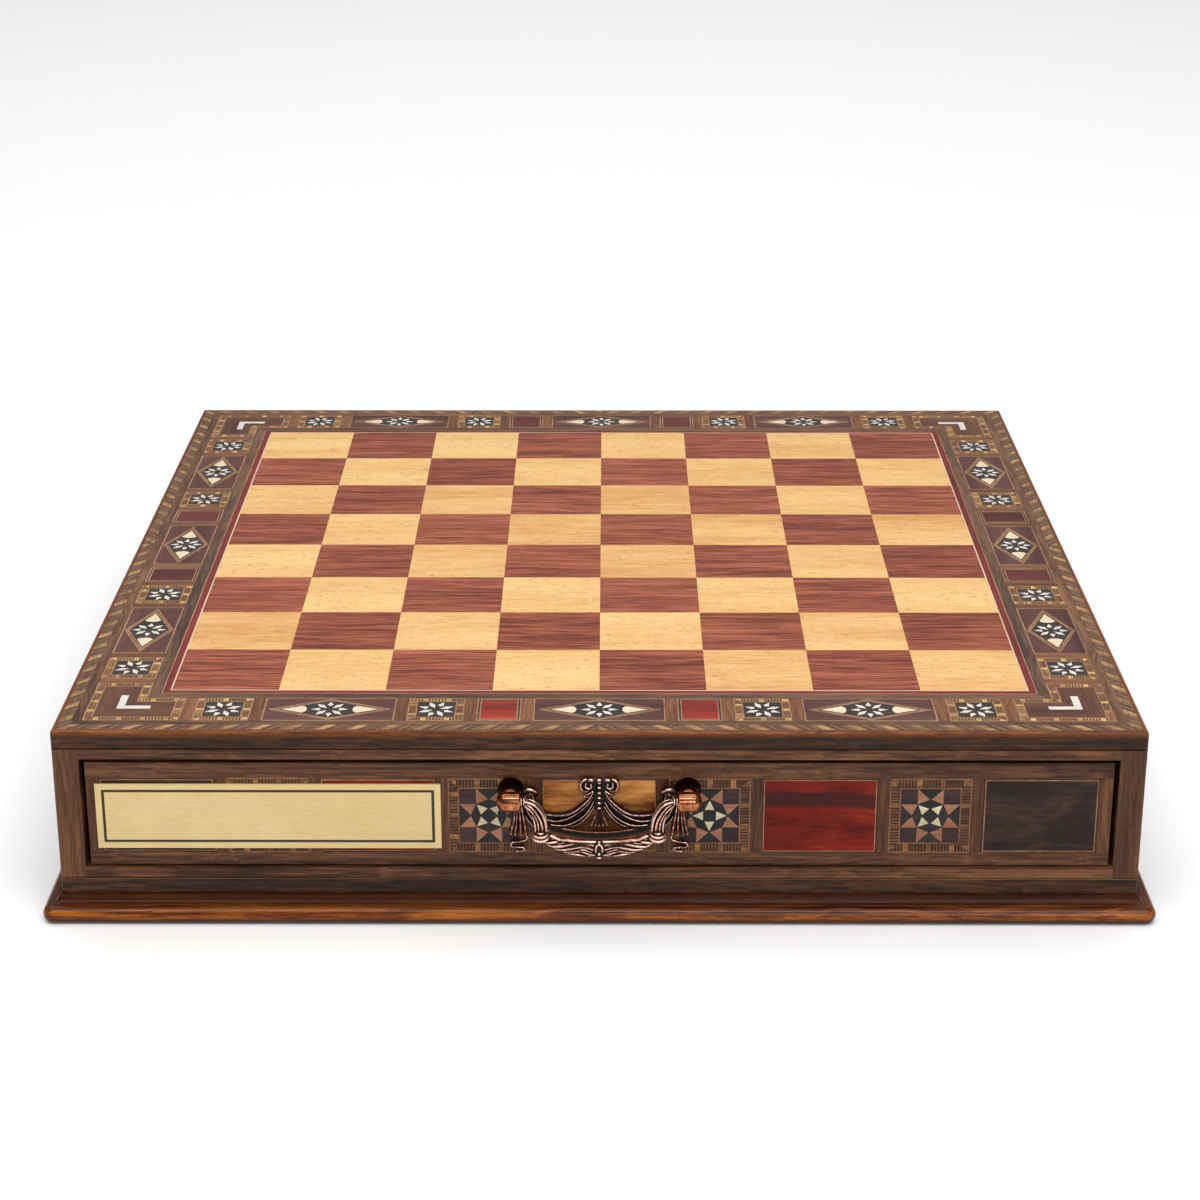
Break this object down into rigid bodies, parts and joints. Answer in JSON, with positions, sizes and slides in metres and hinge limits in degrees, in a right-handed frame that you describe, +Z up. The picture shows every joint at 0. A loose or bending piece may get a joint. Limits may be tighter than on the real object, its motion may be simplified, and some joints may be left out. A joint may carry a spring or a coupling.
{
  "type": "chess box with drawers",
  "caption": "Square wooden chess box with a marquetry chess board on top, a moulded base, and fitted piece drawers that pull out at front and back by swag bail handles.",
  "frame": {"origin": "centre of the underside of the base, on the surface the box stands on", "axes": "+Z up, front drawer opens towards -Y, rear drawer towards +Y, +X to the right seen from the front"},
  "size_m": [0.414, 0.4256, 0.0757],
  "materials": {
    "core_board": "plain core board under the veneer",
    "walnut": "lacquered walnut",
    "walnut_veneer": "lacquered walnut veneer",
    "rope_banding": "two-wood rope banding, lacquered",
    "purple_wood": "dark purple-brown veneer, lacquered",
    "banding": "pale and brown banding, lacquered",
    "ebonised_wood": "blackened wood, lacquered",
    "cream_bone": "cream bone under lacquer",
    "white_bone": "white bone under lacquer",
    "mosaic": "end-grain mosaic banding, lacquered",
    "red_wood": "red-stained wood, lacquered",
    "pale_line": "pale stringing, lacquered",
    "brown_panel": "brown veneer, lacquered",
    "red_line": "red stringing, lacquered",
    "maple": "golden maple veneer, satin lacquer",
    "mahogany": "reddish-brown veneer, satin lacquer",
    "polished_moulding": "dark orange-brown, high gloss",
    "drawer_wood": "sanded hardwood",
    "drawer_ply": "sanded plywood",
    "plate_brass": "brushed and lacquered",
    "felt": "short-pile felt",
    "panel_wood": "figured veneer, lacquered",
    "tan_wood": "tan and cream inlay, lacquered",
    "antique_copper": "antique copper, burnished on the high places",
    "steel": "zinc plated"
  },
  "bodies": {
    "case": {"top_panel": "core_board", "edge_lipping": "walnut", "rope_banding": "rope_banding", "border_veneer": "walnut_veneer", "diamond_grounds": "purple_wood", "diamond_bands": "banding", "diamond_fields": "ebonised_wood", "bone_drops": "cream_bone", "bone_stars": "white_bone", "star_grounds": "ebonised_wood", "star_mosaics": "mosaic", "red_cells": "red_wood", "cell_lines": "pale_line", "corner_mosaics": "mosaic", "corner_panels": "brown_panel", "corner_marks": "white_bone", "red_line": "red_line", "white_line": "pale_line", "light_squares": "maple", "dark_squares": "mahogany", "left_wall": "walnut", "right_wall": "walnut", "front_top_rail": "walnut", "front_bottom_rail": "walnut", "rear_top_rail": "walnut", "rear_bottom_rail": "walnut", "bottom_board": "walnut", "base_moulding": "polished_moulding", "partition": "drawer_wood", "drawer_runners": "drawer_wood", "drawer_kickers": "drawer_wood"},
    "front_drawer": {"front_drawer_front": "walnut", "front_drawer_sides": "drawer_wood", "front_drawer_back": "drawer_wood", "front_drawer_bottom": "drawer_ply", "front_drawer_felt": "felt", "front_long_divider": "drawer_wood", "front_cross_dividers": "drawer_wood", "front_panels": "panel_wood", "front_star_mosaics": "mosaic", "front_star_grounds": "ebonised_wood", "front_star_points": "tan_wood", "front_handle_plate": "antique_copper", "front_handle_screws": "steel", "name_plate": "plate_brass"},
    "front_bail": {"front_bail": "antique_copper"},
    "rear_drawer": {"rear_drawer_front": "walnut", "rear_drawer_sides": "drawer_wood", "rear_drawer_back": "drawer_wood", "rear_drawer_bottom": "drawer_ply", "rear_drawer_felt": "felt", "rear_long_divider": "drawer_wood", "rear_cross_dividers": "drawer_wood", "rear_panels": "panel_wood", "rear_star_mosaics": "mosaic", "rear_star_grounds": "ebonised_wood", "rear_star_points": "tan_wood", "rear_handle_plate": "antique_copper", "rear_handle_screws": "steel"},
    "rear_bail": {"rear_bail": "antique_copper"}
  },
  "joints": [
    {"name": "front_drawer_slide", "type": "slide", "parent": "case", "child": "front_drawer", "axis": [0, -1, 0], "range_m": [0, 0.15]},
    {"name": "rear_drawer_slide", "type": "slide", "parent": "case", "child": "rear_drawer", "axis": [0, 1, 0], "range_m": [0, 0.15]},
    {"name": "front_bail_swing", "type": "hinge", "parent": "front_drawer", "child": "front_bail", "pos_m": [0, -0.2095, 0.05205], "axis": [-1, 0, 0], "range_deg": [0, 95]},
    {"name": "rear_bail_swing", "type": "hinge", "parent": "rear_drawer", "child": "rear_bail", "pos_m": [0, 0.2095, 0.05205], "axis": [1, 0, 0], "range_deg": [0, 95]}
  ]
}
